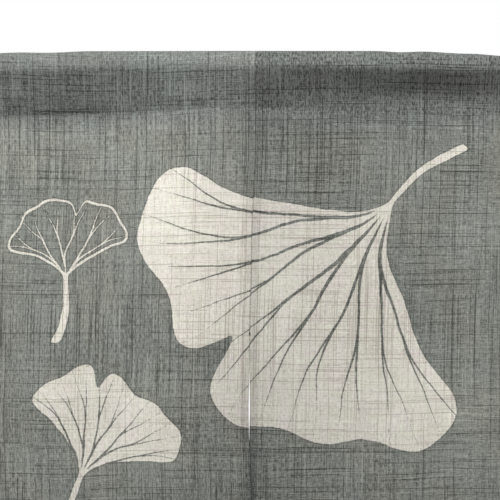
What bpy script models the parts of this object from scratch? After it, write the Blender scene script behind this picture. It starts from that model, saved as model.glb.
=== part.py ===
"""A two-panel noren, the split curtain that hangs in a doorway.

Two lengths of hand-woven hemp hang side by side. Each has narrow hems down both sides and a deeper one along
the bottom, and its top is folded to the back and sewn down as a pocket for a rod. The panels are joined edge to
edge from the top down to a tack, and hang free of each other below it, which leaves the slit.

Metres, +Z up, front towards -Y. The origin is the middle of the top edge, which is where a rod carries it.
A "drop" is a distance straight down from the origin.
"""

import math
from collections import namedtuple

import bmesh
import bpy

# Driving sizes
WIDTH = 0.880
DROP = 1.500
CLOTH = 0.0012
AIR = 0.0003
SIDE_HEM = 0.012
BOTTOM_HEM = 0.025
# Width over which the cloth steps up from one layer to the two of a hem
HEM_STEP = 0.0008

# Rod pocket: where its lower edge is sewn, how wide that sewn strip is, and the rod that the pocket is cut for
POCKET_DROP = 0.100
STITCHED = 0.004
ROD_DIAMETER = 0.025

# Share of the length below the pocket in which the folds take hold
FOLD_ONSET = 0.06
# Share of a fold's depth by which it draws the bottom edge up
HEM_RISE = 0.22

# Stations of the mesh
FIELD_COLUMNS = 18
FIELD_ROWS = 34
POCKET_WALL_ROWS = 5
POCKET_ARC_ROWS = 10

# Dyed hemp: grey-green, matt
DYE = (0.205, 0.216, 0.195, 1.0)
ROUGHNESS = 0.9

# Sag of the top edge below the origin, from one end of the curtain to the other
TopEdge = namedtuple("TopEdge", "x sag")
TOP_EDGE = (
    TopEdge(-0.440, 0.0040),
    TopEdge(-0.385, 0.0026),
    TopEdge(-0.345, 0.0031),
    TopEdge(-0.270, 0.0004),
    TopEdge(0.000, 0.0000),
    TopEdge(0.205, 0.0001),
    TopEdge(0.250, 0.0022),
    TopEdge(0.285, 0.0012),
    TopEdge(0.360, 0.0046),
    TopEdge(0.440, 0.0094),
)

# Lower edge of the pocket: how much further down than POCKET_DROP it is sewn
PocketEdge = namedtuple("PocketEdge", "x lower")
POCKET_EDGE = (
    PocketEdge(-0.440, 0.010),
    PocketEdge(-0.240, 0.008),
    PocketEdge(-0.060, -0.002),
    PocketEdge(0.150, 0.001),
    PocketEdge(0.440, -0.002),
)

# Where the pocket's front falls in below the rod, and by how much
PocketHollow = namedtuple("PocketHollow", "x half_width depth")
POCKET_HOLLOWS = (
    PocketHollow(-0.345, 0.026, 0.0020),
    PocketHollow(-0.262, 0.022, 0.0028),
    PocketHollow(-0.205, 0.020, 0.0020),
    PocketHollow(0.150, 0.060, 0.0024),
    PocketHollow(0.285, 0.055, 0.0034),
    PocketHollow(0.385, 0.030, 0.0022),
)

# Inner edges of the two panels: one seam down to the tack, and a slit below it. The "out" columns say how far
# each edge stands out of the curtain, towards the front
TACK_DROP = 0.475
InnerEdge = namedtuple("InnerEdge", "drop left right left_out right_out")
INNER_EDGES = (
    InnerEdge(0.000, 0.0067, 0.0067, 0.0000, 0.0000),
    InnerEdge(0.130, 0.0062, 0.0062, 0.0000, 0.0000),
    InnerEdge(0.360, -0.0010, -0.0010, 0.0000, 0.0000),
    InnerEdge(TACK_DROP, -0.0038, -0.0038, 0.0000, 0.0000),
    InnerEdge(0.530, -0.0043, -0.0043, 0.0004, -0.0002),
    InnerEdge(0.603, -0.0056, -0.0036, 0.0024, -0.0012),
    InnerEdge(0.645, -0.0050, -0.0046, 0.0036, -0.0018),
    InnerEdge(0.680, -0.0026, -0.0052, 0.0042, -0.0020),
    InnerEdge(0.750, -0.0008, -0.0054, 0.0046, -0.0022),
    InnerEdge(0.860, 0.0006, -0.0052, 0.0052, -0.0028),
    InnerEdge(1.040, -0.0012, -0.0030, 0.0052, -0.0032),
    InnerEdge(1.240, -0.0045, 0.0006, 0.0030, -0.0050),
    InnerEdge(1.520, -0.0070, 0.0040, 0.0004, -0.0074),
)
# Distance into a panel at which a standing edge has fallen back to a third
EDGE_REACH = 0.055

# Outer edges, which draw in and out a little on the way down
OuterEdge = namedtuple("OuterEdge", "drop left_in right_in")
OUTER_EDGES = (
    OuterEdge(0.000, 0.0000, 0.0000),
    OuterEdge(0.300, 0.0016, 0.0008),
    OuterEdge(0.700, 0.0006, 0.0026),
    OuterEdge(1.150, 0.0034, 0.0012),
    OuterEdge(1.520, 0.0012, 0.0030),
)

# Soft vertical folds, deep to the front where positive. A fold leans sideways on its way to the bottom hem
Fold = namedtuple("Fold", "x lean half_width near_pocket at_hem")
FOLDS = (
    Fold(-0.405, 0.012, 0.034, -0.0016, -0.0075),
    Fold(-0.325, 0.020, 0.048, 0.0028, 0.0105),
    Fold(-0.215, -0.016, 0.046, -0.0020, -0.0090),
    Fold(-0.110, 0.014, 0.040, 0.0018, 0.0080),
    Fold(-0.040, -0.004, 0.026, -0.0010, -0.0036),
    Fold(0.052, 0.008, 0.030, 0.0014, 0.0060),
    Fold(0.135, -0.018, 0.042, -0.0018, -0.0082),
    Fold(0.238, 0.016, 0.050, 0.0024, 0.0098),
    Fold(0.335, -0.010, 0.040, -0.0022, -0.0088),
    Fold(0.412, 0.006, 0.032, 0.0012, 0.0064),
)


def ease(share):
    """A share from 0 to 1, with level ends."""
    share = min(1.0, max(0.0, share))
    return share * share * (3 - 2 * share)


def along(table, key, value, at):
    """One column of a table, read at a place between its rows and eased from row to row."""
    if at <= getattr(table[0], key):
        return getattr(table[0], value)
    for low, high in zip(table, table[1:]):
        if at <= getattr(high, key):
            share = (at - getattr(low, key)) / (getattr(high, key) - getattr(low, key))
            return getattr(low, value) + ease(share) * (getattr(high, value) - getattr(low, value))
    return getattr(table[-1], value)


def bell(distance, half_width):
    """A rounded hump, 1 in the middle and almost nothing two half widths away."""
    return math.exp(-((distance / half_width) ** 2))


def pocket_foot(x):
    """Drop of the pocket's lower edge."""
    return along(TOP_EDGE, "x", "sag", x) + POCKET_DROP + along(POCKET_EDGE, "x", "lower", x)


def fold_depth(x, drop):
    """How far the folds push the cloth to the front at a place below the pocket."""
    free = max(0.0, drop - pocket_foot(x)) / (DROP - POCKET_DROP)
    onset = 1 - math.exp(-free / FOLD_ONSET)
    return onset * sum(
        (f.near_pocket + (f.at_hem - f.near_pocket) * free) * bell(x - f.x - f.lean * free, f.half_width)
        for f in FOLDS
    )


def leave_angle(centre, radius, point):
    """Angle from straight up at which cloth that lies round the rod leaves it for a point below, on a tangent."""
    across = abs(point[0])
    below = centre - point[1]
    reach = math.hypot(across, below)
    return math.pi - math.asin(across / reach) - math.acos(radius / reach)


def pocket_rings(x, layers):
    """The pocket cut across at x: its outer ring of (y, z) points from the front's sewn strip up over the rod and
    down to the back's, and the ring inside it, whose first and last point is where the two walls are sewn."""
    wall = CLOTH * layers
    radius = ROD_DIAMETER / 2 + 2 * CLOTH
    sag = along(TOP_EDGE, "x", "sag", x)
    centre = -sag - radius
    sewn_z = -pocket_foot(x) + STITCHED
    front_foot = (-CLOTH, sewn_z)
    back_foot = (2 * wall - CLOTH, sewn_z)
    sewn = (wall - CLOTH, sewn_z)
    hollow = sum(h.depth * bell(x - h.x, h.half_width) for h in POCKET_HOLLOWS)
    front_leave = leave_angle(centre, radius, front_foot)
    back_leave = leave_angle(centre, radius, back_foot)

    def round_rod(angle, r):
        return -r * math.sin(angle), centre + r * math.cos(angle)

    def wall_row(foot, angle, up):
        """Outer and inner point of a wall, at a share of the way up from its foot to where it meets the rod."""
        top = round_rod(angle, radius)
        fall_in = hollow * up * up * (1 - up) * 27 / 4 if foot is front_foot else 0.0
        outer = (foot[0] + (top[0] - foot[0]) * up + fall_in, foot[1] + (top[1] - foot[1]) * up)
        inner = (outer[0] + wall * math.sin(angle), outer[1] - wall * math.cos(angle))
        return outer, inner

    rows = [(front_foot, sewn)]
    rows += [wall_row(front_foot, front_leave, i / POCKET_WALL_ROWS) for i in range(1, POCKET_WALL_ROWS)]
    for i in range(POCKET_ARC_ROWS + 1):
        angle = front_leave - (front_leave + back_leave) * i / POCKET_ARC_ROWS
        rows.append((round_rod(angle, radius), round_rod(angle, radius - wall)))
    rows += [wall_row(back_foot, -back_leave, i / POCKET_WALL_ROWS) for i in range(POCKET_WALL_ROWS - 1, 0, -1)]
    rows.append((back_foot, sewn))
    return [outer for outer, _ in rows], [inner for _, inner in rows]


# One line of mesh down a panel: its place across the panel, and the layers of cloth there. A place is a distance
# from the left edge, from the right edge, or a share of the field between the side hems
Column = namedtuple("Column", "measured_from place layers")


def panel_columns():
    left_hem = [
        Column("left", 0.0, 2),
        Column("left", SIDE_HEM / 2, 2),
        Column("left", SIDE_HEM - HEM_STEP, 2),
        Column("left", SIDE_HEM, 1),
    ]
    field = [Column("field", i / FIELD_COLUMNS, 1) for i in range(1, FIELD_COLUMNS)]
    right_hem = [Column("right", column.place, column.layers) for column in reversed(left_hem)]
    return left_hem + field + right_hem


class Panel:
    """One length of cloth, left or right of the slit as seen from the front."""

    def __init__(self, side):
        self.side = side

    def edges(self, drop):
        """x of the panel's left and right edges."""
        inner = along(INNER_EDGES, "drop", self.side, drop)
        drawn_in = along(OUTER_EDGES, "drop", self.side + "_in", drop)
        if self.side == "left":
            return drawn_in - WIDTH / 2, inner - AIR / 2
        return inner + AIR / 2, WIDTH / 2 - drawn_in

    def x_at(self, column, drop):
        low, high = self.edges(drop)
        if column.measured_from == "left":
            return low + column.place
        if column.measured_from == "right":
            return high - column.place
        return low + SIDE_HEM + column.place * (high - low - 2 * SIDE_HEM)

    def stand_out(self, x, drop):
        """How far the cloth stands out near the slit, towards the front."""
        low, high = self.edges(drop)
        inner = high if self.side == "left" else low
        return along(INNER_EDGES, "drop", self.side + "_out", drop) * math.exp(-abs(x - inner) / EDGE_REACH)

    def hanging_rows(self, column):
        """(x, y of the front, drop, layers) of the rows from the bottom edge up to the pocket's foot."""
        bottom = DROP - HEM_RISE * abs(fold_depth(self.x_at(column, DROP), DROP))
        foot = pocket_foot(self.x_at(column, POCKET_DROP))
        hem_top = bottom - BOTTOM_HEM
        drops = [(bottom, 2), (hem_top + HEM_STEP, 2), (hem_top, 1)]
        drops += [(hem_top + (foot - hem_top) * i / FIELD_ROWS, 1) for i in range(1, FIELD_ROWS + 1)]
        rows = []
        for drop, layers in drops:
            x = self.x_at(column, drop)
            y = -CLOTH - fold_depth(x, drop) - self.stand_out(x, drop)
            rows.append((x, y, drop, max(layers, column.layers)))
        return rows

    def section(self, bm, column):
        """Vertices of the panel cut down one column: the front up to the pocket's foot, the back beside it, the
        pocket's outer ring, its inner ring, and the lower corner of the flap's edge."""
        rows = self.hanging_rows(column)
        front = [bm.verts.new((x, y, -drop)) for x, y, drop, _ in rows]
        back = [bm.verts.new((x, y + CLOTH * layers, -drop)) for x, y, drop, layers in rows]
        x, y, drop, _ = rows[-1]
        flap = bm.verts.new((x, y + 2 * CLOTH * column.layers, -drop))
        outer, inner = pocket_rings(x, column.layers)
        ring = [bm.verts.new((self.x_at(column, -z), y, z)) for y, z in outer]
        lining = [bm.verts.new((self.x_at(column, -z), y, z)) for y, z in inner[:-1]]
        return front, back, ring, lining + lining[:1], flap

    def build(self):
        """The panel's mesh: one closed body, with a tunnel through it where the rod goes."""
        bm = bmesh.new()
        sections = [self.section(bm, column) for column in panel_columns()]
        loops = [front + ring + [flap] + back[::-1] + front[:1] for front, back, ring, _, flap in sections]
        linings = [lining for _, _, _, lining, _ in sections]
        for lines in (loops, linings):
            for here, there in zip(lines, lines[1:]):
                for i in range(len(here) - 1):
                    bm.faces.new((here[i], there[i], there[i + 1], here[i + 1]))
        for front, back, ring, lining, flap in (sections[0], sections[-1]):
            for i in range(len(front) - 1):
                bm.faces.new((front[i], front[i + 1], back[i + 1], back[i]))
            bm.faces.new((front[-1], ring[0], lining[0], back[-1]))
            bm.faces.new((back[-1], lining[0], ring[-1], flap))
            for i in range(len(ring) - 1):
                bm.faces.new((ring[i], ring[i + 1], lining[i + 1], lining[i]))
        bmesh.ops.recalc_face_normals(bm, faces=bm.faces)
        mesh = bpy.data.meshes.new(self.side + "_panel")
        bm.to_mesh(mesh)
        bm.free()
        return mesh


def dyed_hemp():
    material = bpy.data.materials.new("dyed_hemp")
    material.use_nodes = True
    shader = material.node_tree.nodes["Principled BSDF"]
    shader.inputs["Base Color"].default_value = DYE
    shader.inputs["Roughness"].default_value = ROUGHNESS
    shader.inputs["Metallic"].default_value = 0.0
    return material


def main():
    for old in list(bpy.data.objects):
        bpy.data.objects.remove(old)
    material = dyed_hemp()
    curtain = bpy.data.objects.new("noren", None)
    bpy.context.scene.collection.objects.link(curtain)
    for side in ("left", "right"):
        mesh = Panel(side).build()
        mesh.materials.append(material)
        mesh.shade_smooth()
        mesh.set_sharp_from_angle(angle=math.radians(50))
        panel = bpy.data.objects.new(side + "_panel", mesh)
        bpy.context.scene.collection.objects.link(panel)
        panel.parent = curtain


main()
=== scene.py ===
"""The looks of a two-panel noren: hand-woven hemp, dyed grey-green round leaves left in the undyed cream.

Each panel is a fine sheet on its solid's folds, with its hems and its rod pocket really turned over. The
stitches are thread. Metres, +Z up, front towards -Y, origin at the middle of the top edge. A "drop" is a
distance straight down from the origin. A piece's "cloth" map holds its flat place on the loom: across, along.
"""

import math
from collections import namedtuple

import bpy
import numpy as np
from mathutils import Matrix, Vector, noise


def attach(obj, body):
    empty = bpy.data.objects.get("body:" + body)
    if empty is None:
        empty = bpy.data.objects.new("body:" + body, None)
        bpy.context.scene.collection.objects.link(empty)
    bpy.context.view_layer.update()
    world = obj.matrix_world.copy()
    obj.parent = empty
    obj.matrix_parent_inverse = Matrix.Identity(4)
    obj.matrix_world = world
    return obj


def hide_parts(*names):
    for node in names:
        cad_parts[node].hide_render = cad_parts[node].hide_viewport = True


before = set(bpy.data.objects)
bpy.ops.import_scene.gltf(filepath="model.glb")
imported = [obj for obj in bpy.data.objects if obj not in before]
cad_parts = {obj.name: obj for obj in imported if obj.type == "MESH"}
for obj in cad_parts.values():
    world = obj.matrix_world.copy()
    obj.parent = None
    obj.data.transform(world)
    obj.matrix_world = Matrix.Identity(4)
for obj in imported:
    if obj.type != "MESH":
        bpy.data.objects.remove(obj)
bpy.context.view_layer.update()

# Sizes of the solids, as the part has them
WIDTH = 0.880
DROP = 1.500
LAYER = 0.0012
AIR = 0.0003
SIDE_HEM = 0.012
POCKET_DROP = 0.100
ROD_DIAMETER = 0.025
FOLD_ONSET = 0.06
HEM_RISE = 0.22
TACK_DROP = 0.475
EDGE_REACH = 0.055

# The cloth itself: how thick it is, and how far apart the middles of two layers of a hem lie
THICK = 0.0009
NAP = 0.0011
TURN = NAP / 2
# Air between the panels where the seam holds them
SEWN_AIR = 0.00004

# Scale of the photograph, and the point of the curtain that its middle shows
PICTURE_WIDTH = 0.840
PICTURE_MIDDLE = (-0.0034, -0.3343)

TopEdge = namedtuple("TopEdge", "x sag")
TOP_EDGE = (
    TopEdge(-0.440, 0.0040),
    TopEdge(-0.385, 0.0026),
    TopEdge(-0.345, 0.0031),
    TopEdge(-0.270, 0.0004),
    TopEdge(0.000, 0.0000),
    TopEdge(0.205, 0.0001),
    TopEdge(0.250, 0.0022),
    TopEdge(0.285, 0.0012),
    TopEdge(0.360, 0.0046),
    TopEdge(0.440, 0.0094),
)

PocketEdge = namedtuple("PocketEdge", "x lower")
POCKET_EDGE = (
    PocketEdge(-0.440, 0.010),
    PocketEdge(-0.240, 0.008),
    PocketEdge(-0.060, -0.002),
    PocketEdge(0.150, 0.001),
    PocketEdge(0.440, -0.002),
)

PocketHollow = namedtuple("PocketHollow", "x half_width depth")
POCKET_HOLLOWS = (
    PocketHollow(-0.345, 0.026, 0.0020),
    PocketHollow(-0.262, 0.022, 0.0028),
    PocketHollow(-0.205, 0.020, 0.0020),
    PocketHollow(0.150, 0.060, 0.0024),
    PocketHollow(0.285, 0.055, 0.0034),
    PocketHollow(0.385, 0.030, 0.0022),
)

InnerEdge = namedtuple("InnerEdge", "drop left right left_out right_out")
INNER_EDGES = (
    InnerEdge(0.000, 0.0067, 0.0067, 0.0000, 0.0000),
    InnerEdge(0.130, 0.0062, 0.0062, 0.0000, 0.0000),
    InnerEdge(0.360, -0.0010, -0.0010, 0.0000, 0.0000),
    InnerEdge(TACK_DROP, -0.0038, -0.0038, 0.0000, 0.0000),
    InnerEdge(0.530, -0.0043, -0.0043, 0.0004, -0.0002),
    InnerEdge(0.603, -0.0056, -0.0036, 0.0024, -0.0012),
    InnerEdge(0.645, -0.0050, -0.0046, 0.0036, -0.0018),
    InnerEdge(0.680, -0.0026, -0.0052, 0.0042, -0.0020),
    InnerEdge(0.750, -0.0008, -0.0054, 0.0046, -0.0022),
    InnerEdge(0.860, 0.0006, -0.0052, 0.0052, -0.0028),
    InnerEdge(1.040, -0.0012, -0.0030, 0.0052, -0.0032),
    InnerEdge(1.240, -0.0045, 0.0006, 0.0030, -0.0050),
    InnerEdge(1.520, -0.0070, 0.0040, 0.0004, -0.0074),
)

OuterEdge = namedtuple("OuterEdge", "drop left_in right_in")
OUTER_EDGES = (
    OuterEdge(0.000, 0.0000, 0.0000),
    OuterEdge(0.300, 0.0016, 0.0008),
    OuterEdge(0.700, 0.0006, 0.0026),
    OuterEdge(1.150, 0.0034, 0.0012),
    OuterEdge(1.520, 0.0012, 0.0030),
)

Fold = namedtuple("Fold", "x lean half_width near_pocket at_hem")
FOLDS = (
    Fold(-0.405, 0.012, 0.034, -0.0016, -0.0075),
    Fold(-0.325, 0.020, 0.048, 0.0028, 0.0105),
    Fold(-0.215, -0.016, 0.046, -0.0020, -0.0090),
    Fold(-0.110, 0.014, 0.040, 0.0018, 0.0080),
    Fold(-0.040, -0.004, 0.026, -0.0010, -0.0036),
    Fold(0.052, 0.008, 0.030, 0.0014, 0.0060),
    Fold(0.135, -0.018, 0.042, -0.0018, -0.0082),
    Fold(0.238, 0.016, 0.050, 0.0024, 0.0098),
    Fold(0.335, -0.010, 0.040, -0.0022, -0.0088),
    Fold(0.412, 0.006, 0.032, 0.0012, 0.0064),
)


def along(table, key, value, at):
    """One column of a table, read at places between its rows and eased from row to row."""
    keys = np.array([getattr(row, key) for row in table])
    values = np.array([getattr(row, value) for row in table])
    at = np.clip(at, keys[0], keys[-1])
    high = np.clip(np.searchsorted(keys, at), 1, len(keys) - 1)
    share = (at - keys[high - 1]) / (keys[high] - keys[high - 1])
    share = share * share * (3 - 2 * share)
    return values[high - 1] + share * (values[high] - values[high - 1])


def bell(distance, half_width):
    return np.exp(-((distance / half_width) ** 2))


def step_up(low, high, at):
    """0 below low, 1 above high, and eased between them."""
    share = np.clip((at - low) / (high - low), 0.0, 1.0)
    return share * share * (3 - 2 * share)


noise_at = np.vectorize(lambda x, y, z: noise.noise((x, y, z)))


def pocket_foot(x):
    """Drop of the pocket's lower edge."""
    return along(TOP_EDGE, "x", "sag", x) + POCKET_DROP + along(POCKET_EDGE, "x", "lower", x)


def fold_depth(x, drop):
    """How far the folds push the cloth to the front at a place below the pocket."""
    free = np.maximum(0.0, drop - pocket_foot(x)) / (DROP - POCKET_DROP)
    onset = 1 - np.exp(-free / FOLD_ONSET)
    return onset * sum(
        (f.near_pocket + (f.at_hem - f.near_pocket) * free) * bell(x - f.x - f.lean * free, f.half_width)
        for f in FOLDS
    )


def edges(side, drop):
    """x of a panel's left and right edges. Stitches hold the inner ones tight together down to the tack."""
    inner = along(INNER_EDGES, "drop", side, drop)
    drawn_in = along(OUTER_EDGES, "drop", side + "_in", drop)
    apart = SEWN_AIR + (AIR - SEWN_AIR) * step_up(TACK_DROP + 0.03, TACK_DROP + 0.08, drop)
    if side == "left":
        return drawn_in - WIDTH / 2, inner - apart / 2
    return inner + apart / 2, WIDTH / 2 - drawn_in


# Small unevenness that the solids leave out: broad buckles, gathers along the pocket's stitches, ripples
# along the side hems, and a low ridge over them
BUCKLE = 0.0011
BUCKLE_ACROSS = 0.085
BUCKLE_DOWN = 0.30
SEWN_FLAT = 0.06
PUCKER = 0.0005
PUCKER_REACH = 0.030
GATHER_ACROSS = 0.011
GATHER_DOWN = 0.12
RIPPLE_ACROSS = 0.05
RIPPLE_DOWN = 0.022
HEM_RIDGE = 0.00022
RELIEF_SEED = {"left": 1.7, "right": 8.3}


def relief(side, x, drop):
    """How far small unevenness pushes the cloth to the front."""
    low, high = edges(side, drop)
    from_edge = np.minimum(x - low, high - x)
    below = drop - pocket_foot(x)
    seed = RELIEF_SEED[side]
    sewn_in = step_up(0.0, SEWN_FLAT, np.abs(below))
    buckles = BUCKLE * sewn_in * noise_at(x / BUCKLE_ACROSS, drop / BUCKLE_DOWN, seed)
    at_stitches = np.exp(-np.abs(below) / PUCKER_REACH)
    gathers = PUCKER * at_stitches * noise_at(x / GATHER_ACROSS, drop / GATHER_DOWN, seed + 3)
    at_edges = np.exp(-from_edge / PUCKER_REACH)
    ripples = PUCKER * at_edges * noise_at(x / RIPPLE_ACROSS, drop / RIPPLE_DOWN, seed + 5)
    pressed = HEM_RIDGE * (1 - step_up(SIDE_HEM - 0.001, SIDE_HEM + 0.002, from_edge))
    return buckles + gathers + ripples + pressed


def front_y(side, x, drop):
    """y of the middle of the cloth's front layer, below the pocket."""
    low, high = edges(side, drop)
    inner = high if side == "left" else low
    out = along(INNER_EDGES, "drop", side + "_out", drop) * np.exp(-np.abs(x - inner) / EDGE_REACH)
    return -LAYER / 2 - fold_depth(x, drop) - out - relief(side, x, drop)


# A line of the mesh down the cloth: the edge that its place is measured from, the place, and how far behind
# the face it lies. "on" is the flat distance from the edge, negative on the turned-over hem
Line = namedtuple("Line", "edge inset depth on")
FACE_INSETS = (0.0025, 0.0050, 0.0075, 0.0100, 0.0114, 0.0126, 0.0145)
FIELD_LINES = 82
TURN_STEPS = 5


def hem_lines(edge):
    """Lines from a side hem's inner edge, round its turn and across the face to the field."""
    lines = [Line(edge, inset, NAP, -inset) for inset in (SIDE_HEM, 0.0098, 0.0070, 0.0043, 0.0022)]
    for i in range(1, TURN_STEPS + 1):
        angle = math.pi * (1 - i / (TURN_STEPS + 1))
        inset = THICK / 2 + TURN * (1 - math.sin(angle))
        lines.append(Line(edge, inset, TURN * (1 - math.cos(angle)), TURN * math.cos(angle)))
    return lines + [Line(edge, inset, 0.0, inset) for inset in FACE_INSETS]


def sheet_lines():
    left = hem_lines("left")
    right = hem_lines("right")[::-1]
    field = [Line("field", i / FIELD_LINES, 0.0, 0.0) for i in range(1, FIELD_LINES)]
    return left + field + right


# A row of the mesh across the cloth. "on" is its place on its stretch: a distance up from the bottom fold on
# the flap and the face hem, an angle in the turn, and a share of the way on the other stretches
Row = namedtuple("Row", "stretch on")
HEM_PLACES = (0.0022, 0.006, 0.010, 0.015, 0.020, 0.0245)
FACE_ROWS = 268
WALL_ROWS = 16
ROD_ROWS = 24


def sheet_rows():
    rows = [Row("flap", place) for place in reversed(HEM_PLACES)]
    rows += [Row("turn", math.pi * (1 - i / (TURN_STEPS + 1))) for i in range(1, TURN_STEPS + 1)]
    rows += [Row("hem", place) for place in HEM_PLACES + (0.0265,)]
    rows += [Row("face", i / FACE_ROWS) for i in range(1, FACE_ROWS + 1)]
    rows += [Row("front", i / WALL_ROWS) for i in range(1, WALL_ROWS + 1)]
    rows += [Row("rod", i / ROD_ROWS) for i in range(1, ROD_ROWS + 1)]
    rows += [Row("back", i / WALL_ROWS) for i in range(1, WALL_ROWS + 1)]
    return rows


def leave_angle(centre, radius, across, down):
    """Angle from straight up at which cloth round the rod leaves it for a point below, on a tangent."""
    reach = np.hypot(across, centre - down)
    return math.pi - np.arcsin(across / reach) - np.arccos(radius / reach)


# Painted light and shade, as factors on the colour: down each panel, from side to side, and at the pocket,
# where it turns over the rod, high on its wall, at its foot, and just below it
PanelTone = namedtuple("PanelTone", "drop left right")
# Painted light, stronger high on each panel and most on the left one
PANEL_TONES = (
    PanelTone(0.100, 1.16, 0.98),
    PanelTone(0.350, 1.08, 0.96),
    PanelTone(0.650, 0.96, 0.92),
    PanelTone(0.900, 0.94, 0.92),
)
SideTone = namedtuple("SideTone", "x tone")
# Painted light and shade from side to side: darker near the seam, lighter at the right edge
SIDE_TONES = (
    SideTone(-0.440, 1.00),
    SideTone(-0.160, 1.00),
    SideTone(-0.010, 0.90),
    SideTone(0.160, 0.96),
    SideTone(0.380, 1.14),
)
PocketTone = namedtuple("PocketTone", "x rod wall foot below")
# Painted light and shade at the pocket, by place across: painted light over the rod, with painted shade at
# its ends, and painted shade high on its wall, at its foot, and just below it
POCKET_TONES = (
    PocketTone(-0.440, 0.84, 0.54, 0.49, 0.69),
    PocketTone(-0.330, 1.01, 0.48, 0.40, 0.71),
    PocketTone(-0.190, 1.08, 0.60, 0.58, 0.80),
    PocketTone(-0.110, 1.17, 0.74, 0.76, 0.98),
    PocketTone(-0.050, 1.27, 0.74, 0.68, 0.98),
    PocketTone(0.000, 1.45, 0.72, 0.72, 0.94),
    PocketTone(0.014, 1.06, 0.58, 0.73, 1.09),
    PocketTone(0.100, 1.14, 0.50, 0.85, 1.00),
    PocketTone(0.200, 1.15, 0.38, 0.85, 0.73),
    PocketTone(0.300, 1.03, 0.28, 0.88, 0.73),
    PocketTone(0.440, 0.79, 0.38, 0.80, 0.82),
)
# Painted shade: the cloth is darker along the slit, from the tack down
SLIT_SHADE = 0.09
SLIT_SHADE_X = -0.006
SLIT_SHADE_WIDTH = 0.060
SLIT_SHADE_ONSET = 0.12
# Shares of the way up the pocket's walls: where the wall's tone is reached, and where the rod's begins and
# where it is full
WALL_TONE_AT = 0.55
ROD_TONE_FROM = 0.78
ROD_TONE_AT = 0.95
# Painted shade: the cloth is darker along the top of the rod
TOP_SHADE = 0.22
TOP_SHADE_WIDTH = 0.15
# Drop below the pocket in which its shade fades
SHADE_REACH = 0.028


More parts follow.
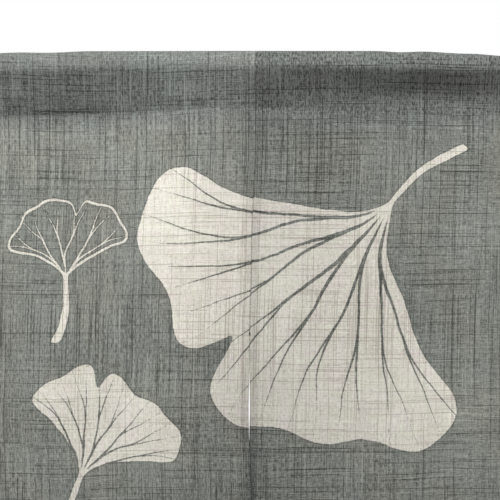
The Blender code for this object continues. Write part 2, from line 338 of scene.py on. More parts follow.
class Sheet:
    """The middle surface of one panel's cloth, as arrays with a place for each line."""

    def __init__(self, side):
        self.side = side
        self.lines = sheet_lines()
        self.rows = sheet_rows()
        self.inset = np.array([line.inset for line in self.lines])
        self.depth = np.array([line.depth for line in self.lines])
        self.on = np.array([line.on for line in self.lines])
        self.kind = np.array([line.edge for line in self.lines])
        self.is_left = self.kind == "left"
        self.is_right = self.kind == "right"
        # 1 on the side hems, where four layers meet at a corner, and 0 in the field
        past_hem = step_up(FACE_INSETS[4], FACE_INSETS[6], self.inset)
        self.doubled = np.where(self.kind == "field", 0.0, 1 - past_hem)

    def x_at(self, drop):
        low, high = edges(self.side, drop)
        first = FACE_INSETS[-1]
        field = low + first + self.inset * (high - low - 2 * first)
        return np.where(self.is_left, low + self.inset, np.where(self.is_right, high - self.inset, field))

    def across(self, drop):
        """Flat place across the loom: 0 at the panel's inner edge, and growing to the right."""
        low, high = edges(self.side, drop)
        start = low - high if self.side == "left" else 0 * low
        first = FACE_INSETS[-1]
        field = first + self.inset * (high - low - 2 * first)
        return start + np.where(self.is_left, self.on, np.where(self.is_right, high - low - self.on, field))

    def bottom(self):
        x = self.x_at(np.full(len(self.lines), DROP))
        return DROP - HEM_RISE * np.abs(fold_depth(x, DROP))

    def hanging(self, row):
        """y, z and flat place along the cloth of a row below the pocket."""
        layers = TURN * (1 + 2 * self.doubled)
        fold_line = self.bottom() - THICK / 2 - 3 * TURN
        x = self.x_at(fold_line)
        foot = pocket_foot(x)
        if row.stretch == "face":
            top_of_hem = fold_line - self.rows_hem_top()
            drop = top_of_hem + (foot - top_of_hem) * row.on
            behind = self.depth
            flat = -drop
        elif row.stretch == "hem":
            drop = fold_line - row.on
            behind = self.depth
            flat = -drop
        elif row.stretch == "turn":
            drop = fold_line + (layers - self.depth) * math.sin(row.on)
            behind = layers - (layers - self.depth) * math.cos(row.on)
            flat = -fold_line - 3 * TURN * row.on
        else:
            drop = fold_line - row.on
            behind = 2 * layers - self.depth
            flat = -fold_line - 3 * TURN * math.pi - row.on
        x = self.x_at(drop)
        return x, front_y(self.side, x, drop) + behind, -drop, flat

    def rows_hem_top(self):
        return max(row.on for row in self.rows if row.stretch == "hem")

    def pocket(self, row):
        """x, y, z and flat place along the cloth of a row round the pocket."""
        x = self.x_at(np.full(len(self.lines), POCKET_DROP))
        foot = -pocket_foot(x)
        radius = ROD_DIAMETER / 2 + 2 * LAYER - THICK / 2
        centre = -along(TOP_EDGE, "x", "sag", x) - ROD_DIAMETER / 2 - 2 * LAYER
        middle = LAYER / 2
        # On the side hems the back wall lies behind two turned-over layers
        behind = middle + 2 * NAP * self.doubled
        front = leave_angle(centre, radius, middle, foot)
        back = leave_angle(centre, radius, behind, foot)
        front_length = np.hypot(radius * np.sin(front) - middle, centre + radius * np.cos(front) - foot)
        back_length = np.hypot(radius * np.sin(back) - behind, centre + radius * np.cos(back) - foot)
        if row.stretch == "rod":
            angle = front - (front + back) * row.on
            y = -radius * np.sin(angle)
            z = centre + radius * np.cos(angle)
            flat = foot + front_length + radius * (front - angle)
        elif row.stretch == "front":
            angle = front
            hollow = sum(h.depth * bell(x - h.x, h.half_width) for h in POCKET_HOLLOWS)
            fall_in = hollow * row.on ** 2 * (1 - row.on) * 27 / 4
            y = -middle + (middle - radius * np.sin(angle)) * row.on + fall_in
            z = foot + (centre + radius * np.cos(angle) - foot) * row.on
            y = y - relief(self.side, x, -z) * (1 - row.on)
            flat = foot + front_length * row.on
        else:
            angle = -back
            y = radius * np.sin(back) + (behind - radius * np.sin(back)) * row.on
            z = centre + radius * np.cos(back) + (foot - centre - radius * np.cos(back)) * row.on
            flat = foot + front_length + radius * (front + back) + back_length * row.on
        x = self.x_at(-z)
        return x, y + self.depth * np.sin(angle), z - self.depth * np.cos(angle), flat

    def painted_light_and_shade(self, row, x, z):
        """How much painted light and shade scale a row's colour."""
        # Painted light that changes down each panel and from side to side
        panel = along(PANEL_TONES, "drop", self.side, -z) * along(SIDE_TONES, "x", "tone", x)
        # Painted shade along the slit, from the tack down
        shade = SLIT_SHADE * step_up(TACK_DROP, TACK_DROP + SLIT_SHADE_ONSET, -z)
        panel = panel * (1 - shade * bell(x - SLIT_SHADE_X, SLIT_SHADE_WIDTH))
        parts = PocketTone._fields[1:]
        rod, wall, foot, below = (along(POCKET_TONES, "x", part, x) for part in parts)
        if row.stretch == "rod":
            # Over the rod: painted light, with a line of painted shade along its top
            return panel * rod * (1 - TOP_SHADE * bell(row.on - 0.5, TOP_SHADE_WIDTH))
        # On the walls: painted shade, turning to the rod's painted light near the top
        if row.stretch in ("front", "back"):
            up = row.on if row.stretch == "front" else 1 - row.on
            tone = foot + (wall - foot) * step_up(0.0, WALL_TONE_AT, up)
            return panel * (tone + (rod - tone) * step_up(ROD_TONE_FROM, ROD_TONE_AT, up))
        # Below the pocket: painted shade that fades over SHADE_REACH
        return panel * (below + (1 - below) * step_up(0.0, SHADE_REACH, -z - pocket_foot(x)))

    def mesh(self):
        points = []
        flats = []
        painted_light_rows = []
        for row in self.rows:
            pocket_row = row.stretch in ("front", "rod", "back")
            x, y, z, flat = self.pocket(row) if pocket_row else self.hanging(row)
            points.append(np.stack([x, y, z], axis=1))
            flats.append(np.stack([self.across(-z), flat], axis=1))
            painted_light_rows.append(self.painted_light_and_shade(row, x, z))
        points = np.array(points)
        flats = np.array(flats).reshape(-1, 2)
        rows, lines = points.shape[:2]
        corner = np.arange(rows * lines).reshape(rows, lines)
        faces = np.stack([corner[:-1, :-1], corner[:-1, 1:], corner[1:, 1:], corner[1:, :-1]], axis=2)
        mesh = bpy.data.meshes.new(self.side + "_cloth")
        mesh.from_pydata(points.reshape(-1, 3).tolist(), [], faces.reshape(-1, 4).tolist())
        cloth_map = mesh.uv_layers.new(name="cloth")
        order = np.empty(len(mesh.loops), int)
        mesh.loops.foreach_get("vertex_index", order)
        cloth_map.uv.foreach_set("vector", flats[order].astype(np.float32).ravel())
        # Each point's painted light and shade, kept as an attribute for the material
        painted_light_and_shade = mesh.attributes.new("painted_light_and_shade", "FLOAT", "POINT")
        painted_light_and_shade.data.foreach_set("value", np.array(painted_light_rows, dtype=np.float32).ravel())
        mesh.shade_smooth()
        return mesh


def link(name, mesh, material):
    mesh.materials.append(material)
    piece = bpy.data.objects.new(name, mesh)
    bpy.context.scene.collection.objects.link(piece)
    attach(piece, "root")
    return piece


class Wire:
    """A number that flows through a material's nodes. Arithmetic on it adds the nodes that work it out."""

    def __init__(self, tree, socket):
        self.tree = tree
        self.socket = socket

    def run(self, operation, *others):
        node = self.tree.nodes.new("ShaderNodeMath")
        node.operation = operation
        for slot, value in zip(node.inputs, (self,) + others):
            plug(value, slot)
        return Wire(self.tree, node.outputs[0])

    def __add__(self, other):
        return self.run("ADD", other)

    def __radd__(self, other):
        return self.run("ADD", other)

    def __sub__(self, other):
        return self.run("SUBTRACT", other)

    def __rsub__(self, other):
        return self.run("MULTIPLY_ADD", -1.0, other)

    def __mul__(self, other):
        return self.run("MULTIPLY", other)

    def __rmul__(self, other):
        return self.run("MULTIPLY", other)

    def __truediv__(self, other):
        return self.run("DIVIDE", other)

    def __pow__(self, other):
        return self.run("POWER", other)

    def __abs__(self):
        return self.run("ABSOLUTE")

    def between(self, low, high):
        """0 below low, 1 above high, and eased between them."""
        node = self.tree.nodes.new("ShaderNodeMapRange")
        node.interpolation_type = "SMOOTHSTEP"
        plug(self, node.inputs["Value"])
        plug(low, node.inputs["From Min"])
        plug(high, node.inputs["From Max"])
        return Wire(self.tree, node.outputs["Result"])


def plug(value, slot):
    if isinstance(value, Wire):
        value.tree.links.new(value.socket, slot)
    else:
        slot.default_value = value


def speckle(x, y, z, detail=0.0):
    """Smooth noise, 0 to 1 about a half, at a place given as three numbers, one of them at least a Wire."""
    tree = next(value.tree for value in (x, y, z) if isinstance(value, Wire))
    place = tree.nodes.new("ShaderNodeCombineXYZ")
    for value, slot in zip((x, y, z), place.inputs):
        plug(value, slot)
    cloud = tree.nodes.new("ShaderNodeTexNoise")
    cloud.inputs["Scale"].default_value = 1.0
    cloud.inputs["Detail"].default_value = detail
    tree.links.new(place.outputs[0], cloud.inputs["Vector"])
    return Wire(tree, cloud.outputs["Fac"])


class Noise(namedtuple("Noise", "across down seed detail", defaults=(0.0,))):
    """Smooth noise on the flat cloth: how fast it changes each way, a seed of its own, and its detail."""

    def at(self, across, down):
        return speckle(across * self.across, down * self.down, self.seed, self.detail)

    def swing(self, across, down):
        """The same about zero."""
        return self.at(across, down) - 0.5


def mix_colours(tree, mode, amount, first, second):
    """Each colour is four numbers or a colour socket."""
    node = tree.nodes.new("ShaderNodeMix")
    node.data_type = "RGBA"
    node.blend_type = mode
    plug(amount, node.inputs["Factor"])
    for value, slot in ((first, node.inputs["A"]), (second, node.inputs["B"])):
        if isinstance(value, tuple):
            slot.default_value = value
        else:
            tree.links.new(value, slot)
    return node.outputs["Result"]


def blend_colours(amount, first, second):
    """first where amount is 0, second where it is 1."""
    return mix_colours(amount.tree, "MIX", amount, first, second)


def multiply_colours(first, second):
    return mix_colours(first.id_data, "MULTIPLY", 1.0, first, second)


def scale_colour(colour, amount):
    node = amount.tree.nodes.new("ShaderNodeCombineColor")
    for slot in node.inputs:
        plug(amount, slot)
    return multiply_colours(colour, node.outputs[0])


# Fan leaves, at flat places on the cloth. lean is the way the fan opens, in degrees clockwise from straight
# up. A full leaf is cream with grey veins, and the others are drawn in cream lines
Leaf = namedtuple("Leaf", "x drop lean radius spread ribs notch full stalk bend")
LEAVES = (
    Leaf(0.235, 0.250, -140, 0.435, 64, 2.5, 0.16, True, 0.150, -1.6),
    Leaf(-0.285, 0.720, 24, 0.185, 62, 2.0, -0.20, True, 0.220, 2.2),
    Leaf(-0.305, 0.385, -4, 0.138, 64, 1.5, 0.14, False, 0.100, -3.0),
)
# Half the fan's angle at the stalk, in radians, and the power by which it flares
FAN_START = 0.30
FAN_FLARE = 0.55
# Waves of the rim: their height as a share of the radius, how many radians they pass in one radian of the
# fan, and how far the leaf's place moves them
RimWave = namedtuple("RimWave", "height pace shift")
BROAD_WAVE = RimWave(0.034, 7.0, 9)
FINE_WAVE = RimWave(0.016, 17.0, 11)
NOTCH_DEPTH = 0.17
NOTCH_WIDTH = 0.060
# The rim falls away to the sides, gently and then fast, and its corners are round
RIM_FALL = 0.08
RIM_CORNER = 0.10
CORNER_BLEND = 0.20
# Veins: how wide they are on a leaf of the given radius, how much of the room between them they take at most,
# and how they thin out
VEIN = 0.0062
VEIN_RADIUS = 0.39
VEIN_SHARE = 0.30
VEIN_TAPER = 0.6
# A fork: how far its arms part, as a share of the room between ribs, and where on the radius they do
Fork = namedtuple("Fork", "apart start end")
FIRST_FORK = Fork(0.25, 0.16, 0.62)
SECOND_FORK = Fork(0.125, 0.50, 0.96)
# Shares of the radius: where the first veins can end, how much farther others reach, and where all begin
VEIN_END = 0.72
VEIN_END_SPREAD = 0.34
VEIN_START = (0.03, 0.12)
VEIN_START_GAP = 0.003
OUTLINE = 0.0042
STALK_WIDTH = 0.0042
STALK_WIDENING = 0.0030
STALK_OVERLAP = 0.012
STALK_JOIN = 0.006
STALK_END = 0.008
# Drawn lines waver like a brush's, broadly and finely, and their edges follow the threads
WAVER = 0.026
FINE_WAVER = 0.003
WAVER_ACROSS = (Noise(8, 8, 31), Noise(40, 40, 32))
WAVER_DOWN = (Noise(8, 8, 33), Noise(40, 40, 34))
RAGGED = 0.0016
RAGGED_WARP = Noise(900, 160, 11)
RAGGED_WEFT = Noise(160, 900, 12)

# A place on a leaf, from where the fan meets its stalk: along and beside the middle, how far off and at what
# angle, how far off as a share of the radius, and half the fan's angle there
LeafPlace = namedtuple("LeafPlace", "ahead aside reach turn share half")


def leaf_place(across, down, leaf):
    lean = math.radians(leaf.lean)
    dx = across - leaf.x
    dz = down + leaf.drop
    ahead = dx * math.sin(lean) + dz * math.cos(lean)
    aside = dx * math.cos(lean) - dz * math.sin(lean)
    reach = (ahead * ahead + aside * aside) ** 0.5
    share = reach / leaf.radius
    half = FAN_START + (math.radians(leaf.spread) - FAN_START) * share.run("MINIMUM", 1.0) ** FAN_FLARE
    return LeafPlace(ahead, aside, reach, aside.run("ARCTAN2", ahead), share, half)


def in_fan(place, leaf):
    """How far inside the fan a place is. Its rim is wavy, with a notch off its middle."""
    turn = place.turn
    broad = BROAD_WAVE.height * (turn * BROAD_WAVE.pace + leaf.x * BROAD_WAVE.shift).run("SINE")
    fine = FINE_WAVE.height * (turn * FINE_WAVE.pace + leaf.drop * FINE_WAVE.shift).run("SINE")
    notch = ((turn - leaf.notch) / NOTCH_WIDTH) ** 2.0
    to_side = (turn / math.radians(leaf.spread)) ** 2.0
    rounding = 1.0 - RIM_FALL * to_side - RIM_CORNER * to_side * to_side * to_side
    rim = leaf.radius * (rounding + (broad + fine) - NOTCH_DEPTH * (notch * -1.0).run("EXPONENT"))
    from_side = (place.half - abs(turn)) * place.reach
    return (rim - place.reach).run("SMOOTH_MIN", from_side, CORNER_BLEND * leaf.radius)


def in_veins(place, leaf):
    """How far inside a vein a place is. Veins fork twice on the way out, and thin out like brush strokes."""
    rib = place.turn / place.half * leaf.ribs
    off_rib = abs(rib - rib.run("ROUND"))
    forks = (FIRST_FORK, SECOND_FORK)
    first, second = (fork.apart * place.share.between(fork.start, fork.end) for fork in forks)
    room = place.half * place.reach / leaf.ribs
    off_vein = abs(abs(off_rib - first) - second) * room
    end = VEIN_END + VEIN_END_SPREAD * speckle(rib * 2.3, leaf.x * 40, 0.0)
    taper = (1.0 - place.share / end).run("MAXIMUM", 0.0) ** VEIN_TAPER
    width = (VEIN * (leaf.radius / VEIN_RADIUS) ** 0.5 * taper).run("MINIMUM", VEIN_SHARE * room)
    return width / 2 - off_vein - VEIN_START_GAP * (1.0 - place.share.between(*VEIN_START))


def in_stalk(place, leaf):
    """How far inside the stalk a place is. It bends and widens towards its end."""
    behind = place.ahead * -1.0
    width = STALK_WIDTH + STALK_WIDENING * behind / leaf.stalk
    slope = 2 * leaf.bend * behind
    off = abs(place.aside - leaf.bend * behind * behind) / (1.0 + slope ** 2.0) ** 0.5
    beside_fan = (width - off).run("SMOOTH_MIN", behind + STALK_OVERLAP, STALK_JOIN)
    return beside_fan.run("SMOOTH_MIN", leaf.stalk - behind, STALK_END)


def in_leaf(across, down, leaf):
    """How far inside the undyed part of one leaf a place is, in metres, and negative outside it."""
    place = leaf_place(across, down, leaf)
    fan = in_fan(place, leaf)
    veins = in_veins(place, leaf)
    if leaf.full:
        drawn = fan.run("MINIMUM", veins * -1.0)
    else:
        drawn = (OUTLINE / 2 - abs(fan - OUTLINE / 2)).run("MAXIMUM", veins.run("MINIMUM", fan))
    return drawn.run("SMOOTH_MAX", in_stalk(place, leaf), STALK_JOIN)


def strayed(place, noises, across, down):
    """A coordinate of a place, moved as the brush wavers."""
    broad, fine = noises
    return place + (WAVER * broad.swing(across, down) + FINE_WAVER * fine.swing(across, down))


def undyed_part(across, down, cloth):
    """How far inside the undyed leaves a place is."""
    drawn_across = strayed(across, WAVER_ACROSS, across, down)
    drawn_down = strayed(down, WAVER_DOWN, across, down)
    ragged = RAGGED_WARP.at(cloth.warp_at, down) + RAGGED_WEFT.at(across, cloth.weft_at) - 1.0
    undyed = None
    for leaf in LEAVES:
        one = in_leaf(drawn_across, drawn_down, leaf) + RAGGED * ragged
        undyed = one if undyed is None else undyed.run("MAXIMUM", one)
    return undyed


# Colours as light that the cloth sends back
GREY_DARK = (0.063, 0.067, 0.060, 1.0)
GREY_LIGHT = (0.403, 0.423, 0.393, 1.0)
GREEN_TINT = (0.975, 1.005, 1.010, 1.0)
BROWN_TINT = (1.015, 0.995, 0.990, 1.0)
CREAM_DARK = (0.450, 0.410, 0.360, 1.0)
CREAM_LIGHT = (0.865, 0.850, 0.790, 1.0)
YELLOW_TINT = (0.990, 1.000, 0.950, 1.0)
PINK_TINT = (1.010, 0.985, 0.990, 1.0)
# The dye leans to olive below the pocket and to blue on it
OLIVE_TINT = (1.018, 1.000, 0.970, 1.0)
BLUE_TINT = (0.995, 1.000, 1.012, 1.0)


# One set of threads: how far apart they lie, how the grain drifts, how they wander and how uneven their width
# is, slubs long and short, the long dark and the pale threads, and the fibres along them
Threads = namedtuple(
    "Threads", "pitch drift_by drift wander uneven slub slubs nubs dark dark_above pale fibres"
)
WARP = Threads(
    pitch=0.00105,
    drift_by=0.010,
    drift=Noise(2, 2, 22),
    wander=Noise(40, 9, 1),
    uneven=Noise(330, 5, 25),
    slub=0.54,
    slubs=Noise(600, 12, 3),
    nubs=Noise(900, 120, 4),
    dark=Noise(1290, 3.2, 7),
    dark_above=0.66,
    pale=Noise(1290, 8, 13),
    fibres=Noise(3600, 420, 27),
)
WEFT = Threads(
    pitch=0.00115,
    drift_by=0.026,
    drift=Noise(2.2, 1.8, 23),
    wander=Noise(9, 40, 2),
    uneven=Noise(5, 330, 26),
    slub=0.46,
    slubs=Noise(16, 600, 5),
    nubs=Noise(130, 900, 6),
    dark=Noise(4.5, 1180, 8),
    dark_above=0.67,
    pale=Noise(10, 1180, 14),
    fibres=Noise(420, 3600, 28),
)
# How strong each of them is, as pitches for the first two and as tone for the others
WANDER = 1.2
UNEVEN = 1.4
NUB = 0.78
DARK = 0.60
PALE = 0.24
PALE_ON_POCKET = 0.26
FIBRE = 0.5
# The noise over which a long dark thread fades in, and between which a pale one does
DARK_EDGE = 0.08
PALE_FROM = 0.64
PALE_FULL = 0.74
# Noises of the whole cloth, and how strong they are
SWAY = 1.1
SWAY_NOISE = Noise(6, 5, 21)
MOTTLE = 0.28
MOTTLE_NOISE = Noise(620, 620, 24)
KNOT = 0.60
KNOT_NOISE = Noise(420, 420, 9)
KNOT_EDGE = (0.755, 0.80)
CLOUD = 0.42
CLOUD_NOISE = Noise(7, 6, 10, 4.0)
SPECK = 1.7
SPECK_AT_FOOT = 0.8
SPECK_ON_POCKET = 0.45
SPECK_NOISE = Noise(520, 170, 29)
# The tone about which the others swing, and how much painted highlight a thread's height adds, with painted
# shade where it dips
MIDDLE_TONE = 0.51
HEIGHT_LIGHT_AND_SHADE = 0.40
# Flat places along the cloth between which its turn over the rod and the pocket begin, and the distances from
# the pocket's foot between which its specked strip ends
ROD_BEGINS = (-0.032, -0.022)
POCKET_BEGINS = (-0.104, -0.094)
SWAY_BEGINS = (-0.115, -0.095)
FOOT_STRIP = (0.002, 0.008)

# What the weave looks like at a place: its tone, 0 dark to 1 light, how far it stands out, how much of a long
# dark thread is there, and where the warp and the weft thread lie
Weave = namedtuple("Weave", "tone height dark warp_at weft_at")

# How much more the warp shows than the weft, how much that grows at the pocket, and how strong the short pale
# and dark specks on the pocket are
Grain = namedtuple("Grain", "warp pocket specks")


def thread_count(threads, along_pitch, across, down):
    """How many threads lie before a place. The grain isn't quite true, and threads wander and vary."""
    drift = threads.drift_by * threads.drift.at(across, down)
    count = (along_pitch + drift) / threads.pitch
    return count + WANDER * threads.wander.at(across, down) + UNEVEN * threads.uneven.at(across, down)


def thread_tone(threads, across, down, pale):
    """Tone of one set of threads about zero, and how much of a long dark one is there."""
    long_dark = threads.dark.at(across, down).between(threads.dark_above, threads.dark_above + DARK_EDGE)
    long_pale = threads.pale.at(across, down).between(PALE_FROM, PALE_FULL)
    slubby = threads.slub * threads.slubs.swing(across, down) + NUB * threads.nubs.swing(across, down)
    return slubby - DARK * long_dark + pale * long_pale, long_dark


def weave(across, down, grain):
    warp_turn = thread_count(WARP, across, across, down)
    weft_turn = thread_count(WEFT, down, across, down)
    warp_at = warp_turn.run("FLOOR") * WARP.pitch
    weft_at = weft_turn.run("FLOOR") * WEFT.pitch
    # Plain weave: at every crossing the thread on top changes
    warp_side = (warp_turn * math.pi).run("SINE")
    weft_side = (weft_turn * math.pi).run("SINE")
    over = 0.5 + 0.5 * warp_side * weft_side
    height = abs(warp_side) * over + abs(weft_side) * (1.0 - over)
    on_top = over.between(0.3, 0.7)

    on_pocket = down.between(*POCKET_BEGINS)
    warp, dark_warp = thread_tone(WARP, warp_at, down, PALE + PALE_ON_POCKET * on_pocket)
    weft, dark_weft = thread_tone(WEFT, across, weft_at, PALE)
    warp = warp * (0.5 + on_top) + FIBRE * WARP.fibres.swing(across, down) * on_top
    weft = weft * (1.5 - on_top) + FIBRE * WEFT.fibres.swing(across, down) * (1.0 - on_top)
    # From place to place the warp shows more than the weft, or the other way round
    sway = grain.warp + SWAY * SWAY_NOISE.swing(across, down)
    sway = sway + grain.pocket * down.between(*SWAY_BEGINS)
    tone = MIDDLE_TONE + warp * (1.0 + sway) + weft * (1.0 - sway)

    knots = KNOT_NOISE.at(across, down).between(*KNOT_EDGE)
    cloud = CLOUD * CLOUD_NOISE.swing(across, down)
    tone = tone + MOTTLE * MOTTLE_NOISE.swing(across, down) - KNOT * knots + cloud
    at_foot = 1.0 - abs(down + POCKET_DROP - 0.001).between(*FOOT_STRIP)
    specked = down.between(*ROD_BEGINS).run("MAXIMUM", SPECK_AT_FOOT * at_foot)
    specked = specked.run("MAXIMUM", SPECK_ON_POCKET * on_pocket)
    tone = tone + SPECK * grain.specks * specked * SPECK_NOISE.swing(across, down)
    # Painted highlight on the threads' crowns and painted shade between them
    tone = tone + HEIGHT_LIGHT_AND_SHADE * (height - 2 / math.pi)
    dark = dark_warp * on_top + dark_weft * (1.0 - on_top)
    return Weave(tone, height + 0.4 * dark, dark, warp_at, weft_at)


# Lines that show where cloth is doubled or joined: painted shade of a hem's inner edge, with the pull of its
# stitches, and painted shade in the seam's joint; how wide, how blurred and how dark
HEM_LINE = 0.0007
HEM_LINE_BLUR = (-0.0005, 0.0005)
HEM_LINE_TONE = 0.50
HEM_LINE_PACE = 30
HEM_LINE_SEED = 15.0
SEAM_LINE = 0.0009
SEAM_LINE_BLUR = (-0.0006, 0.0004)
SEAM_LINE_TONE = 0.30
# Dye gathers in a thin dark line along the edge of the undyed part. Distances into it between which the line
# and the cream fade in, and how dark the line is
GATHERED = (-0.0026, -0.0008)
CREAM_EDGE = (-0.0004, 0.0004)
GATHERED_TONE = 0.26
# Where painted shade darkens the cloth, the threads differ more
DEPTH = 1.5
DEPTH_LEAST = -0.06
BRIGHTEST = 1.6
HUE_NOISE = Noise(13, 9, 16, 1.0)
WARP_HUE_NOISE = Noise(85, 12, 17, 1.0)
WEFT_HUE_NOISE = Noise(12, 85, 18, 1.0)
CREAM_BASE = 0.17
CREAM_THREAD = 0.50
# Share of the light that comes through the cloth
THROUGH = 0.40


def dyed_colour(tone, painted_light_and_shade, gathered, across, down):
    """Grey-green that leans from place to place to green or brown, and to blue on the pocket."""
    depth = 1.0 + DEPTH * (1.0 - painted_light_and_shade).run("MAXIMUM", DEPTH_LEAST)
    dyed_tone = 0.5 + (tone - 0.5) * depth - GATHERED_TONE * gathered
    grey = blend_colours(dyed_tone.run("MINIMUM", BRIGHTEST).run("MAXIMUM", 0.0), GREY_DARK, GREY_LIGHT)
    hue = HUE_NOISE.at(across, down).between(0.35, 0.65)
    grey = multiply_colours(grey, blend_colours(hue, GREEN_TINT, BROWN_TINT))
    return multiply_colours(grey, blend_colours(down.between(-0.150, -0.095), OLIVE_TINT, BLUE_TINT))


def cream_colour(tone, cloth, across, down):
    """Undyed cream, a little yellow or pink thread by thread."""
    cream_tone = tone + CREAM_BASE - CREAM_THREAD * cloth.dark
    cream = blend_colours(cream_tone.run("MINIMUM", 1.0).run("MAXIMUM", 0.0), CREAM_DARK, CREAM_LIGHT)
    hues = WARP_HUE_NOISE.at(cloth.warp_at, down) + WEFT_HUE_NOISE.at(across, cloth.weft_at)
    return multiply_colours(cream, blend_colours((0.5 * hues).between(0.36, 0.64), YELLOW_TINT, PINK_TINT))


def let_light_through(tree, shader, colour, normal):
    """Mixes in light that comes through one layer, and hardly through two.

    It passes both faces of the cloth, so each takes the square root of the colour.
    """
    through = tree.nodes.new("ShaderNodeBsdfTranslucent")
    root = tree.nodes.new("ShaderNodeGamma")
    root.inputs["Gamma"].default_value = 0.5
    tree.links.new(colour, root.inputs["Color"])
    tree.links.new(root.outputs[0], through.inputs["Color"])
    tree.links.new(normal, through.inputs["Normal"])
    mix = tree.nodes.new("ShaderNodeMixShader")
    mix.inputs["Fac"].default_value = THROUGH
    tree.links.new(shader.outputs[0], mix.inputs[1])
    tree.links.new(through.outputs[0], mix.inputs[2])
    tree.links.new(mix.outputs[0], tree.nodes["Material Output"].inputs["Surface"])


def bumped(tree, height, strength, distance):
    """Normal of a surface that stands out by height."""
    bump = tree.nodes.new("ShaderNodeBump")
    bump.inputs["Strength"].default_value = strength
    bump.inputs["Distance"].default_value = distance
    plug(height, bump.inputs["Height"])
    return bump.outputs["Normal"]


def hemp(name, shift, grain):
    """Slubby plain weave, dyed but for the leaves. shift is how far the print is off along this panel."""
    material = bpy.data.materials.new(name)
    material.use_nodes = True
    tree = material.node_tree
    shader = tree.nodes["Principled BSDF"]
    cloth_map = tree.nodes.new("ShaderNodeUVMap")
    cloth_map.uv_map = "cloth"
    split = tree.nodes.new("ShaderNodeSeparateXYZ")
    tree.links.new(cloth_map.outputs["UV"], split.inputs[0])
    across = Wire(tree, split.outputs["X"])
    down = Wire(tree, split.outputs["Y"])
    # Each point's painted light and shade, read from its attribute
    painted = tree.nodes.new("ShaderNodeAttribute")
    painted.attribute_name = "painted_light_and_shade"
    painted_light_and_shade = Wire(tree, painted.outputs["Fac"])

    cloth = weave(across, down, grain)
    # Painted shade along the hems' inner edges, with the stitches' pull, and in the seam's joint
    hem_line = (HEM_LINE - abs(abs(across) - SIDE_HEM)).between(*HEM_LINE_BLUR)
    hem_line = hem_line * speckle(down * HEM_LINE_PACE, across, HEM_LINE_SEED)
    seam_line = (SEAM_LINE - abs(across)).between(*SEAM_LINE_BLUR)
    tone = cloth.tone - HEM_LINE_TONE * hem_line - SEAM_LINE_TONE * seam_line

    undyed = undyed_part(across, down - shift, cloth)
    dyed = dyed_colour(tone, painted_light_and_shade, undyed.between(*GATHERED), across, down)
    cream = cream_colour(tone, cloth, across, down)
    # The painted light and shade scale the whole colour
    colour = scale_colour(blend_colours(undyed.between(*CREAM_EDGE), dyed, cream), painted_light_and_shade)
    tree.links.new(colour, shader.inputs["Base Color"])
    shader.inputs["Roughness"].default_value = 0.9
    shader.inputs["Specular IOR Level"].default_value = 0.25
    shader.inputs["Sheen Weight"].default_value = 0.15
    shader.inputs["Sheen Roughness"].default_value = 0.5
    normal = bumped(tree, cloth.height, 0.9, 0.0004)
    tree.links.new(normal, shader.inputs["Normal"])
    let_light_through(tree, shader, colour, normal)
    return material


def thread(name, colour):
    """Sewing thread, with the twist of its plies, and painted shade in its grooves."""
    material = bpy.data.materials.new(name)
    material.use_nodes = True
    tree = material.node_tree
    shader = tree.nodes["Principled BSDF"]
    place = tree.nodes.new("ShaderNodeTexCoord")
    split = tree.nodes.new("ShaderNodeSeparateXYZ")
    tree.links.new(place.outputs["Object"], split.inputs[0])
    x, y, z = (Wire(tree, socket) for socket in split.outputs)
    twist = ((x + y + z) * 9000).run("SINE") * 0.5 + 0.5
    # Painted shade in the grooves of the twist, darker between the plies
    dark = tuple(0.62 * c for c in colour[:3]) + (1.0,)
    tree.links.new(blend_colours(twist, dark, colour), shader.inputs["Base Color"])
    shader.inputs["Roughness"].default_value = 0.8
    tree.links.new(bumped(tree, twist, 0.4, 0.0001), shader.inputs["Normal"])
    return material


# Stitches: half the thread's width, the rings and sides of its mesh, and each seam's pitch and stitch length
THREAD = 0.00028
STITCH_SIDES = 6
STITCH_RINGS = 4
Seam = namedtuple("Seam", "pitch length")
POCKET_SEAM = Seam(0.0062, 0.0032)
HEM_SEAM = Seam(0.0085, 0.0018)
LADDER = Seam(0.0058, 0.0026)
# How far each seam keeps from what it runs along or to
POCKET_SEAM_INSET = 0.003
POCKET_SEAM_RISE = 0.0022
HEM_SEAM_INSET = 0.0008
HEM_SEAM_TOP = 0.022
HEM_SEAM_ENDS = 0.05
BOTTOM_SEAM_INSET = 0.004
LADDER_TOP = 0.012
LADDER_SLANT = 0.0016
# How far the slanted stitches on the back reach past a hem's edge, and along it
PAST_HEM = 0.0030
ALONG_HEM = 0.0028
# How far a stitch rises, and how uneven the sewing is
STITCH_RISE = 0.0003
HEM_STITCH_RISE = 0.0001
SEWING_UNEVEN = 0.001
# The tack's wraps of thick thread
TACK_WRAPS = 5
TACK_PITCH = 0.0009
TACK_HALF = 0.0017
TACK_UNEVEN = 0.0004
TACK_THREAD = 0.0004
TACK_SLANT = 0.0003


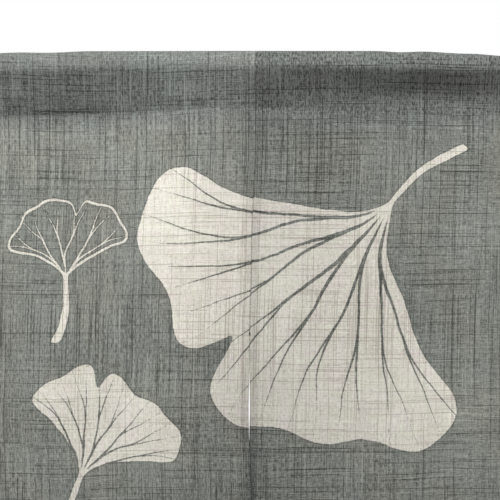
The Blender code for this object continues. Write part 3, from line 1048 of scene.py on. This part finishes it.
class Stitching:
    """One mesh of many short stitches."""

    def __init__(self):
        self.points = []
        self.faces = []

    def add(self, start, end, out, rise=STITCH_RISE, radius=THREAD):
        """A stitch from start to end that arches away from the cloth, along out."""
        start, end, out = Vector(start), Vector(end), Vector(out)
        run = (end - start).normalized()
        aside = run.cross(out).normalized()
        first = len(self.points)
        for i in range(STITCH_RINGS + 1):
            share = i / STITCH_RINGS
            centre = start.lerp(end, share) + out * (rise * math.sin(math.pi * share) - 0.6 * radius)
            slim = radius * (0.55 + 0.45 * math.sin(math.pi * share))
            for k in range(STITCH_SIDES):
                angle = 2 * math.pi * k / STITCH_SIDES
                self.points.append(centre + slim * (aside * math.cos(angle) + out * math.sin(angle)))
        for i in range(STITCH_RINGS):
            here = first + i * STITCH_SIDES
            there = here + STITCH_SIDES
            for k in range(STITCH_SIDES):
                next_k = (k + 1) % STITCH_SIDES
                self.faces.append((here + k, here + next_k, there + next_k, there + k))
        last = first + STITCH_RINGS * STITCH_SIDES
        self.faces.append(tuple(first + k for k in reversed(range(STITCH_SIDES))))
        self.faces.append(tuple(last + k for k in range(STITCH_SIDES)))

    def piece(self, name, material):
        mesh = bpy.data.meshes.new(name)
        mesh.from_pydata(self.points, [], self.faces)
        mesh.shade_smooth()
        return link(name, mesh, material)


FRONT = (0.0, -1.0, 0.0)
BACK = (0.0, 1.0, 0.0)


def on_front(side, x, drop):
    """A point on the front of the cloth, below the pocket's foot."""
    return x, float(front_y(side, np.array(x), np.array(drop))) - THICK / 2, -drop


def on_back(side, x, drop, layers):
    return x, float(front_y(side, np.array(x), np.array(drop))) + THICK / 2 + NAP * (layers - 1), -drop


def pocket_seam(sewing, side):
    """Running stitches along the pocket's foot, on the front."""
    low, high = (float(edge) for edge in edges(side, np.array(POCKET_DROP)))
    for i in range(int((high - low - 0.004) / POCKET_SEAM.pitch)):
        x = low + POCKET_SEAM_INSET + i * POCKET_SEAM.pitch
        drop = float(pocket_foot(np.array(x))) - POCKET_SEAM_RISE + 0.0006 * noise.noise((x * 90, 0, 1))
        start = x, -LAYER / 2 - THICK / 2 - 0.0002, -drop
        end = x + POCKET_SEAM.length, start[1], -drop + 0.0002
        sewing.add(start, end, FRONT)


def side_seams(sewing, side):
    """Both side hems: a small stitch on the front, and a slanted one over the hem's edge on the back."""
    for edge, inward in ((0, 1), (1, -1)):
        for i in range(int((DROP - POCKET_DROP - HEM_SEAM_ENDS) / HEM_SEAM.pitch)):
            uneven = SEWING_UNEVEN * noise.noise((i * 0.7, edge * 9, 4))
            drop = POCKET_DROP + HEM_SEAM_TOP + i * HEM_SEAM.pitch + uneven
            x = float(edges(side, np.array(drop))[edge]) + inward * (SIDE_HEM - HEM_SEAM_INSET)
            end = on_front(side, x, drop + HEM_SEAM.length)
            sewing.add(on_front(side, x, drop), end, FRONT, HEM_STITCH_RISE)
            beyond = on_back(side, x + inward * PAST_HEM, drop + ALONG_HEM, 1)
            sewing.add(on_back(side, x, drop, 2), beyond, BACK)


def bottom_seam(sewing, side):
    """The bottom hem, sewn as the side hems are."""
    low, high = (float(edge) for edge in edges(side, np.array(DROP)))
    for i in range(int((high - low - 2 * SIDE_HEM - 0.004) / HEM_SEAM.pitch)):
        uneven = SEWING_UNEVEN * noise.noise((i * 0.7, 5, 2))
        x = low + SIDE_HEM + BOTTOM_SEAM_INSET + i * HEM_SEAM.pitch + uneven
        hem_rise = HEM_RISE * abs(float(fold_depth(np.array(x), np.array(DROP))))
        drop = DROP - hem_rise - THICK / 2 - 3 * TURN - HEM_PLACES[-1] + HEM_SEAM_INSET
        end = on_front(side, x + HEM_SEAM.length, drop)
        sewing.add(on_front(side, x, drop), end, FRONT, HEM_STITCH_RISE)
        beyond = on_back(side, x + ALONG_HEM, drop - PAST_HEM, 1)
        sewing.add(on_back(side, x, drop, 2), beyond, BACK)


def panel_stitches(side):
    """Pocket line, side hems and bottom hem of one panel."""
    sewing = Stitching()
    pocket_seam(sewing, side)
    side_seams(sewing, side)
    bottom_seam(sewing, side)
    return sewing


def over_seam(sewing, seam, drop, half, slants, rise=STITCH_RISE, radius=THREAD):
    """A stitch over the seam on the front, and one on the back. slants say how far their right ends drop."""
    on_face, behind = slants
    left = seam - half
    right = seam + half
    sewing.add(on_front("left", left, drop), on_front("right", right, drop + on_face), FRONT, rise, radius)
    sewing.add(on_back("left", left, drop, 2), on_back("right", right, drop + behind, 2), BACK, rise, radius)


def seam_stitches():
    """The ladder of stitches that joins the panels."""
    sewing = Stitching()
    for i in range(int((TACK_DROP - POCKET_DROP) / LADDER.pitch)):
        drop = POCKET_DROP + LADDER_TOP + i * LADDER.pitch
        seam = float(along(INNER_EDGES, "drop", "left", np.array(drop)))
        over_seam(sewing, seam, drop, LADDER.length / 2, (LADDER_SLANT, LADDER_SLANT))
    return sewing


def tack():
    """Bar of thread wrapped over the seam's end."""
    sewing = Stitching()
    seam = float(along(INNER_EDGES, "drop", "left", np.array(TACK_DROP)))
    for i in range(TACK_WRAPS):
        drop = TACK_DROP + (i - (TACK_WRAPS - 1) / 2) * TACK_PITCH
        half = TACK_HALF + TACK_UNEVEN * noise.noise((i * 1.9, 3, 3))
        over_seam(sewing, seam, drop, half, (TACK_SLANT, 0.0), TACK_THREAD, TACK_THREAD)
    return sewing


PRINT_SHIFT = {"left": 0.0, "right": 0.0022}
GRAINS = {"left": Grain(0.26, -0.12, 0.35), "right": Grain(0.06, 0.20, 1.0)}

for side in ("left", "right"):
    cloth = link(side + "_cloth", Sheet(side).mesh(), hemp(side + "_hemp", PRINT_SHIFT[side], GRAINS[side]))
    solid = cloth.modifiers.new("thickness", "SOLIDIFY")
    solid.thickness = THICK
    solid.offset = 0.0
    solid.use_even_offset = True
    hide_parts(side + "_panel")
    sewing = panel_stitches(side).piece(side + "_stitches", thread(side + "_thread", (0.34, 0.35, 0.31, 1.0)))
seam_stitches().piece("seam_stitches", thread("seam_thread", (0.20, 0.21, 0.19, 1.0)))
tack().piece("slit_tack", thread("tack_thread", (0.06, 0.065, 0.06, 1.0)))


# Stage: a pale floor well below the curtain, and white all round
FLOOR_DROP = 1.90
FLOOR_WIDTH = 8.0


def floor():
    half = FLOOR_WIDTH / 2
    mesh = bpy.data.meshes.new("floor")
    corners = [(x * half, y * half, -FLOOR_DROP) for x, y in ((-1, -1), (1, -1), (1, 1), (-1, 1))]
    mesh.from_pydata(corners, [], [(0, 1, 2, 3)])
    material = bpy.data.materials.new("floor")
    material.use_nodes = True
    shader = material.node_tree.nodes["Principled BSDF"]
    shader.inputs["Base Color"].default_value = (0.86, 0.86, 0.85, 1.0)
    shader.inputs["Roughness"].default_value = 0.8
    mesh.materials.append(material)
    plane = bpy.data.objects.new("floor", mesh)
    bpy.context.scene.collection.objects.link(plane)


def area_light(name, place, target, size, power):
    light = bpy.data.lights.new(name, "AREA")
    light.shape = "SQUARE"
    light.size = size
    light.energy = power
    lamp = bpy.data.objects.new(name, light)
    lamp.location = place
    lamp.rotation_mode = "QUATERNION"
    lamp.rotation_quaternion = (Vector(target) - Vector(place)).to_track_quat("-Z", "Y")
    bpy.context.scene.collection.objects.link(lamp)


def camera():
    lens = 85.0
    sensor = 36.0
    data = bpy.data.cameras.new("camera")
    data.lens = lens
    data.sensor_width = sensor
    away = PICTURE_WIDTH * lens / sensor
    eye = bpy.data.objects.new("camera", data)
    eye.location = (PICTURE_MIDDLE[0], -away, PICTURE_MIDDLE[1])
    eye.rotation_euler = (math.radians(90), 0.0, 0.0)
    bpy.context.scene.collection.objects.link(eye)
    bpy.context.scene.camera = eye


def surroundings():
    world = bpy.data.worlds.new("white")
    world.use_nodes = True
    sky = world.node_tree.nodes["Background"]
    sky.inputs["Color"].default_value = (1.0, 1.0, 1.0, 1.0)
    sky.inputs["Strength"].default_value = 1.0
    bpy.context.scene.world = world
    view = bpy.context.scene.view_settings
    view.view_transform = "Standard"
    view.look = "None"


floor()
surroundings()
area_light("key", place=(-0.75, -1.1, 0.55), target=(-0.15, 0.0, -0.25), size=0.6, power=13.0)
camera()
